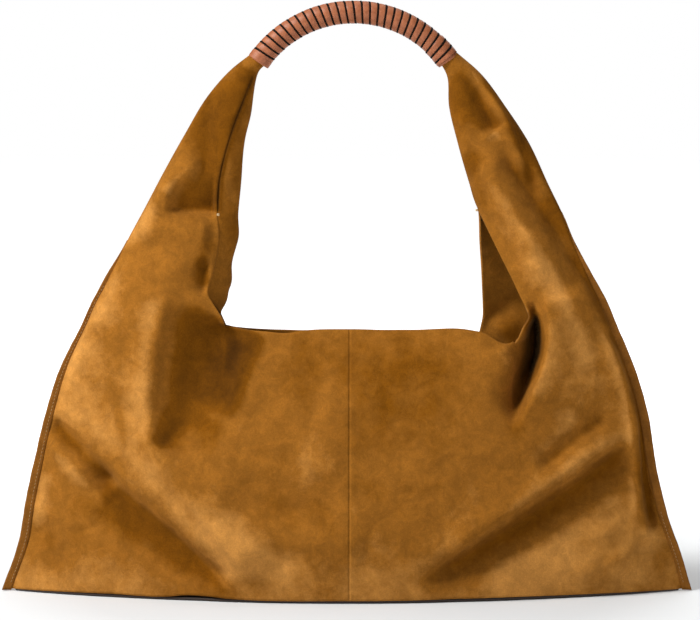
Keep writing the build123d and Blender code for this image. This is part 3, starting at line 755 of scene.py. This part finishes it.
def pocket_edge():
    """The bound edge round the pocket's sides and floor, with its rounded lower corners."""
    y0, y1 = POCKET_FRONT_Y - 0.2, POCKET_BACK_Y + 1.2
    radius = 7.0
    side_x, floor_z = POCKET_HALF - 1.5, POCKET_BOTTOM + 1.5
    right = [(side_x, POCKET_TOP - t) for t in np.linspace(0, POCKET_TOP - floor_z - radius, 30)]
    turn = []
    for angle in np.linspace(0, pi / 2, 9)[1:-1]:
        turn.append((side_x - radius * (1 - cos(angle)), floor_z + radius * (1 - sin(angle))))
    half = right + turn + [(x, floor_z) for x in np.linspace(side_x - radius, 0, 24)]
    path = np.array(half + [(-x, z) for x, z in half[-2::-1]])
    ahead = np.gradient(path, axis=0)
    ahead /= np.linalg.norm(ahead, axis=1)[:, None]
    out = np.column_stack([-ahead[:, 1], ahead[:, 0]])
    mid, half_y = (y0 + y1) / 2, (y1 - y0) / 2
    profile = [(-1.5, 1.0), (1.0, 1.0), (1.5, 0.8), (1.5, -0.8), (1.0, -1.0), (-1.5, -1.0), (-1.5, -0.85),
               (0.5, -0.85), (0.5, 0.85), (-1.5, 0.85)]
    verts = []
    for (x, z), (ox, oz) in zip(path, out):
        for reach, across in profile:
            verts.append((x - reach * ox, mid + half_y * across, z - reach * oz))
    return to_mesh("pocket_bound_edge", verts, skin(len(path), len(profile)), smooth=False)


def zip_row(name, sign):
    """One row of separate zip teeth, clipped on the edge of its tape."""
    pitch, low, high = 1.9, 0.42, 2.3
    verts, faces = [], []
    y = POCKET_FRONT_Y + 1.4
    shift = 0.25 * pitch * sign
    for x in np.arange(-77.0, 77.0, pitch) + shift:
        first = len(verts)
        for z, half_x, half_y in ((low, 0.38, 0.6), (low + 0.7, 0.62, 0.8), (high, 0.5, 0.75)):
            for dx, dy in ((-1, -1), (1, -1), (1, 1), (-1, 1)):
                verts.append((x + dx * half_x, y + dy * half_y, ZIP_Z + sign * z))
        faces += skin(3, 4, first)
    return to_mesh(name, verts, faces, smooth=False)


# ------------ materials
def material(name):
    """A new node material: returns it with its tree and shader."""
    mat = bpy.data.materials.new(name)
    mat.use_nodes = True
    tree = mat.node_tree
    return mat, tree, tree.nodes["Principled BSDF"]


def feed(tree, made, inputs):
    """Sets a node's sockets, or links them where an output is given."""
    for key, value in inputs.items():
        socket = made.inputs[key]
        if isinstance(value, bpy.types.NodeSocket):
            tree.links.new(value, socket)
        else:
            socket.default_value = value


def node(tree, kind, inputs=None, **settings):
    """Adds a node with its properties and sockets."""
    made = tree.nodes.new(kind)
    for key, value in settings.items():
        setattr(made, key, value)
    feed(tree, made, inputs or {})
    return made


def texture(tree, scale, detail=3.0, rough=0.55, distort=0.0, stretch=(1, 1, 1)):
    """Noise in object space, in features per metre."""
    place = node(tree, "ShaderNodeTexCoord").outputs["Object"]
    place = node(tree, "ShaderNodeMapping", {"Vector": place, "Scale": stretch}).outputs["Vector"]
    inputs = {"Vector": place, "Scale": scale, "Detail": detail, "Roughness": rough, "Distortion": distort}
    return node(tree, "ShaderNodeTexNoise", inputs).outputs["Fac"]


def ramp(tree, value, stops):
    """Colour ramp over (position, colour) stops."""
    made = node(tree, "ShaderNodeValToRGB", {"Fac": value})
    band = made.color_ramp
    while len(band.elements) < len(stops):
        band.elements.new(0.5)
    for element, (position, colour) in zip(band.elements, stops):
        element.position = position
        element.color = (*colour, 1)
    return made.outputs["Color"]


def overlay(tree, factor, under, over):
    """Lays one colour over another by overlay."""
    inputs = {0: factor, 6: under, 7: over}
    return node(tree, "ShaderNodeMix", inputs, data_type="RGBA", blend_type="OVERLAY").outputs[2]


def spread(tree, value, out_low, out_high, low=0.0, high=1.0):
    """Maps a value's range low to high onto out_low to out_high."""
    inputs = {"Value": value, "From Min": low, "From Max": high, "To Min": out_low, "To Max": out_high}
    return node(tree, "ShaderNodeMapRange", inputs).outputs["Result"]


def grey(level):
    """A neutral colour."""
    return (level, level, level)


def bump(tree, height, strength, distance, under=None):
    """Bump from a height, on top of another normal if one is given."""
    inputs = {"Height": height, "Strength": strength, "Distance": distance}
    if under is not None:
        inputs["Normal"] = under
    return node(tree, "ShaderNodeBump", inputs).outputs["Normal"]


def suede(name, dark, mid, light, nap_and_painted_shade=0.8):
    """Napped leather: brushed patches of lighter and darker pile, painted shade and highlights from the mesh,
    a fine grain and a soft sheen.
    """
    mat, tree, shader = material(name)
    patches = spread(tree, texture(tree, 18, 10, 0.7), 0.1, 0.9)
    # Painted shading from the mesh: painted shade where negative, painted highlight where positive.
    painted_shading = node(tree, "ShaderNodeAttribute", attribute_name="nap_and_painted_shade").outputs["Fac"]
    shade = node(tree, "ShaderNodeMath", {0: painted_shading, 1: 0.26, 2: patches}, operation="MULTIPLY_ADD")
    shade = spread(tree, shade.outputs["Value"], 0.0, 1.0, low=-1.0)
    # The two lowest stops are painted shade, reached only where the painted shading is dark; the deepest is
    # the painted shadow in the pleat.
    painted_deep_shade, painted_shade = (tuple(share * c for c in dark) for share in (0.10, 0.72))
    stops = [(0.22, painted_deep_shade), (0.44, painted_shade), (0.62, dark), (0.725, mid), (0.775, mid), (0.90, light)]
    colour = ramp(tree, shade, stops)
    brushed = texture(tree, 80, 12, 0.74, 0.5)
    marks = ramp(tree, brushed, [(0.40, grey(0.37)), (0.5, grey(0.5)), (0.60, grey(0.64))])
    colour = overlay(tree, 0.65 * nap_and_painted_shade, colour, marks)
    pile = texture(tree, 850, 4, 0.75)
    specks = ramp(tree, pile, [(0.3, grey(0.34)), (0.7, grey(0.66))])
    colour = overlay(tree, 0.65 * nap_and_painted_shade, colour, specks)
    normal = bump(tree, pile, 0.30, 0.0004, bump(tree, brushed, 0.35, 0.0012))
    feed(tree, shader, {
        "Base Color": colour, "Roughness": 0.92, "Specular IOR Level": 0.05, "Normal": normal,
        "Sheen Weight": 0.09, "Sheen Roughness": 0.45, "Sheen Tint": (1.0, 0.60, 0.22, 1),
    })
    return mat


def leather(name, dark, light, rough, shine=0.5):
    """Smooth finished leather with a fine grain and slight wear."""
    mat, tree, shader = material(name)
    tone = texture(tree, 260, 6, 0.7, 0.3)
    colour = ramp(tree, tone, [(0.3, dark), (0.7, light)])
    gloss = spread(tree, texture(tree, 260, 3), rough - 0.06, rough + 0.12)
    normal = bump(tree, texture(tree, 700, 5, 0.6), 0.22, 0.0004)
    inputs = {"Base Color": colour, "Roughness": gloss, "Specular IOR Level": shine, "Normal": normal}
    feed(tree, shader, inputs)
    return mat


def cloth(name, dark, light, scale=1400):
    """Woven cloth: two crossed sets of threads."""
    mat, tree, shader = material(name)
    place = node(tree, "ShaderNodeTexCoord").outputs["Object"]
    threads = {"Vector": place, "Scale": scale / 6.0}
    warp = node(tree, "ShaderNodeTexWave", threads, bands_direction="X").outputs["Fac"]
    weft = node(tree, "ShaderNodeTexWave", threads, bands_direction="Z").outputs["Fac"]
    weave = node(tree, "ShaderNodeMath", {0: warp, 1: weft}, operation="MULTIPLY").outputs["Value"]
    colour = ramp(tree, weave, [(0.1, dark), (0.6, light)])
    feed(tree, shader, {"Base Color": colour, "Roughness": 0.85, "Normal": bump(tree, weave, 0.3, 0.0003)})
    return mat


def metal(name, colour, rough=0.28):
    """Plated metal with faint handling marks."""
    mat, tree, shader = material(name)
    tone = ramp(tree, texture(tree, 300, 4), [(0.3, tuple(0.8 * c for c in colour)), (0.7, colour)])
    marks = spread(tree, texture(tree, 900, 3), rough - 0.08, rough + 0.12)
    feed(tree, shader, {"Base Color": tone, "Metallic": 1.0, "Roughness": marks})
    return mat


def dress(obj, mat):
    """Gives an object one material."""
    obj.data.materials.clear()
    obj.data.materials.append(mat)


# ------------ build
SUEDE_MAT = suede("suede_tan", (0.150, 0.050, 0.002), (0.238, 0.089, 0.0100), (0.45, 0.198, 0.042))
RAW_MAT = suede("suede_raw_edge", (0.13, 0.045, 0.006), (0.20, 0.076, 0.012), (0.28, 0.115, 0.026))
RIM_MAT = suede("suede_cut_rim", (0.16, 0.060, 0.010), (0.27, 0.11, 0.020), (0.38, 0.17, 0.04))
WRAP_MAT = leather("cognac_leather", (0.20, 0.056, 0.019), (0.36, 0.115, 0.044), 0.50, shine=0.35)
PAINT_MAT = leather("edge_paint", (0.004, 0.003, 0.002), (0.010, 0.006, 0.004), 0.75, shine=0.05)
DARK_MAT = leather("dark_leather", (0.020, 0.012, 0.009), (0.040, 0.022, 0.014), 0.6)
STITCH_MAT = cloth("tan_thread", (0.24, 0.12, 0.035), (0.50, 0.31, 0.12), 3000)
THREAD_MAT = cloth("cream_thread", (0.42, 0.28, 0.13), (0.72, 0.58, 0.38), 3000)
TAPE_MAT = cloth("brown_tape", (0.06, 0.03, 0.015), (0.14, 0.08, 0.04))
LINING_MAT = cloth("cotton_lining", (0.20, 0.12, 0.06), (0.36, 0.24, 0.14))
BRASS_MAT = metal("brass", (0.62, 0.44, 0.20))
ROPE_MAT = cloth("rope", (0.35, 0.28, 0.18), (0.65, 0.56, 0.40), 900)
BOARD_MAT = leather("board", (0.03, 0.03, 0.03), (0.06, 0.06, 0.055), 0.7)

SLOT_MATS = {
    "suede": SUEDE_MAT, "raw_edge": RAW_MAT, "wrap_leather": WRAP_MAT, "dark_leather": DARK_MAT,
    "thread": THREAD_MAT, "brass": BRASS_MAT, "tape": TAPE_MAT, "lining": LINING_MAT, "rope": ROPE_MAT,
    "board": BOARD_MAT,
}
for part in frame["record"]["subparts"]:
    dress(frame["nodes"][part["node"]], SLOT_MATS[part["material_slot"]])


def seat(obj, mat, body="bag", replaced=()):
    """Dresses a piece, seats it on a body and hides the CAD parts it stands for."""
    dress(obj, mat)
    if body == "fold":
        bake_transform(obj)
    else:
        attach(obj, body)
    if replaced:
        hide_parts(*replaced)


for hand in (LEFT, RIGHT):
    for side in (FRONT, BACK):
        half = suede_half(hand, side)
        dress(half, SUEDE_MAT)
        half.data.materials.append(RIM_MAT)
        thicken(half, SUEDE, rim=1)
        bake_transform(half)
        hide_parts(f"{SIDE[side]}_panel_{HAND[hand]}", f"{HAND[hand]}_arm_{SIDE[side]}")

for piece, mat, replaced in (
    (spiral("leather_wrap", STRIP, wobble=0.2), WRAP_MAT, ("handle_wrap",)),
    (spiral("wrap_edge_paint", PAINT, wobble=0.1), PAINT_MAT, ()),
    (end_band("wrap_end_band_left", WRAP_LEFT - 0.4, WRAP_LEFT + 3.4, 9.9), WRAP_MAT, ("wrap_collar_left",)),
    (end_band("wrap_end_band_right", WRAP_RIGHT - 1.6, WRAP_RIGHT + 1.2, 9.7), WRAP_MAT,
     ("wrap_collar_right",)),
):
    seat(piece, mat, "handle", replaced)

for hand in (LEFT, RIGHT):
    word = HAND[hand]
    seat(flange(hand, FRONT), RAW_MAT, "fold", (f"side_flange_{word}",))
    seat(flange(hand, BACK), RAW_MAT, "fold")
    seat(side_stitches(hand), STITCH_MAT, replaced=(f"side_stitching_{word}",))
    seat(tack(hand), THREAD_MAT, "fold", (f"bar_tack_{word}",))

for side in (FRONT, BACK):
    for hand in (LEFT, RIGHT):
        end = f"{SIDE[side]}_{HAND[hand]}"
        rows = (BODY_ROWS - 11, BODY_ROWS - 1)
        facing = lining_strip(f"facing_{end}", hand, side, rows, ARM_COLUMNS + 5, 1.0)
        tape = lining_strip(f"tape_{end}", hand, side, (3, BODY_ROWS - 12), COLUMNS - 4, 0.8)
        first = hand == LEFT
        seat(facing, SUEDE_MAT, replaced=(f"mouth_facing_{SIDE[side]}",) if first else ())
        seat(tape, TAPE_MAT, replaced=(f"seam_tape_{SIDE[side]}",) if first else ())

sheet, piping_and_shadow = base_sheet()
seat(sheet, DARK_MAT, replaced=("base_panel",))
seat(piping_and_shadow, DARK_MAT)

inner, floor_z = POCKET_HALF - 3, POCKET_BOTTOM + 3
front_y = POCKET_FRONT_Y + 0.5
for name, z0, z1, y, seed, still_z, tall in (
    ("back", floor_z, POCKET_TOP, POCKET_BACK_Y + 0.5, 21, None, 0.124),
    ("front_lower", floor_z, ZIP_Z - 4, front_y, 22, ZIP_Z, 0.101),
    ("front_upper", ZIP_Z + 4, POCKET_TOP, front_y, 23, ZIP_Z, 0.015),
):
    panel = pocket_cloth(f"pocket_{name}_cloth", -inner, inner, z0, z1, y, seed, still_z)
    seat(panel, LINING_MAT, replaced=(f"pocket_{name}",))
seat(pocket_edge(), DARK_MAT, replaced=("pocket_binding",))
for name, sign in (("lower", -1), ("upper", 1)):
    z0, z1 = sorted((ZIP_Z + sign * 2.1, ZIP_Z + sign * 11.1))
    cloth_y = POCKET_FRONT_Y + 1.4
    ribbon = pocket_cloth(f"zip_ribbon_{name}", -ZIP_HALF - 6, ZIP_HALF + 6, z0, z1, cloth_y, 24, ZIP_Z, 0.6)
    seat(ribbon, TAPE_MAT, replaced=(f"zip_tape_{name}",))
    seat(zip_row(f"zip_tooth_row_{name}", sign), BRASS_MAT, replaced=(f"zip_teeth_{name}",))


# ------------ studio
WHITE = (1, 1, 1, 1)


def studio():
    """Pale floor that glows, brighter away from the bag, soft lights, white surroundings and the camera."""
    floor_mat, tree, shader = material("studio_floor")
    place = node(tree, "ShaderNodeTexCoord").outputs["Object"]
    away = node(tree, "ShaderNodeVectorMath", {0: place}, operation="LENGTH").outputs["Value"]
    # The floor glows, faintly by the bag and fully from 0.85 m out: painted light that whitens the floor and
    # washes out the bag's cast shadow away from it.
    feed(tree, shader, {
        "Base Color": (0.585, 0.60, 0.605, 1), "Roughness": 0.9, "Emission Color": WHITE,
        "Emission Strength": spread(tree, away, 0.06, 0.90, low=0.22, high=0.85),
    })
    half, z = 6000, -0.2
    corners = [(-half, -half, z), (half, -half, z), (half, half, z), (-half, half, z)]
    floor = to_mesh("studio_floor", corners, [[0, 1, 2, 3]])
    dress(floor, floor_mat)
    for name, place, size, power in (
        ("key", (-1.75, -1.05, 2.15), 1.0, 114),
        ("fill", (1.4, -2.2, 1.0), 1.6, 12),
        ("top", (0.1, 0.4, 2.3), 1.4, 12),
        ("back", (0.6, 1.9, 1.2), 1.4, 14),
    ):
        lamp = bpy.data.lights.new(name, "AREA")
        lamp.size = size
        lamp.energy = power
        obj = bpy.data.objects.new(name, lamp)
        obj.location = place
        obj.rotation_euler = (Vector((0, 0, 0.2)) - Vector(place)).to_track_quat("-Z", "Y").to_euler()
        bpy.context.scene.collection.objects.link(obj)
    world = bpy.data.worlds.new("studio")
    world.use_nodes = True
    tree = world.node_tree
    seen = node(tree, "ShaderNodeLightPath").outputs["Is Camera Ray"]
    feed(tree, tree.nodes["Background"], {"Color": WHITE, "Strength": spread(tree, seen, 0.12, 1.0)})
    bpy.context.scene.world = world
    bpy.context.scene.view_settings.view_transform = "Standard"

    target = Vector((0.0025, 0, 0.2405))
    tilt, distance = radians(6.0), 3.0
    camera = bpy.data.cameras.new("camera")
    camera.sensor_width = 36
    camera.lens = 36 * distance / 0.593
    eye = bpy.data.objects.new("camera", camera)
    eye.location = target + Vector((0, -distance * cos(tilt), distance * sin(tilt)))
    eye.rotation_euler = (target - eye.location).to_track_quat("-Z", "Y").to_euler()
    bpy.context.scene.collection.objects.link(eye)
    bpy.context.scene.camera = eye


studio()
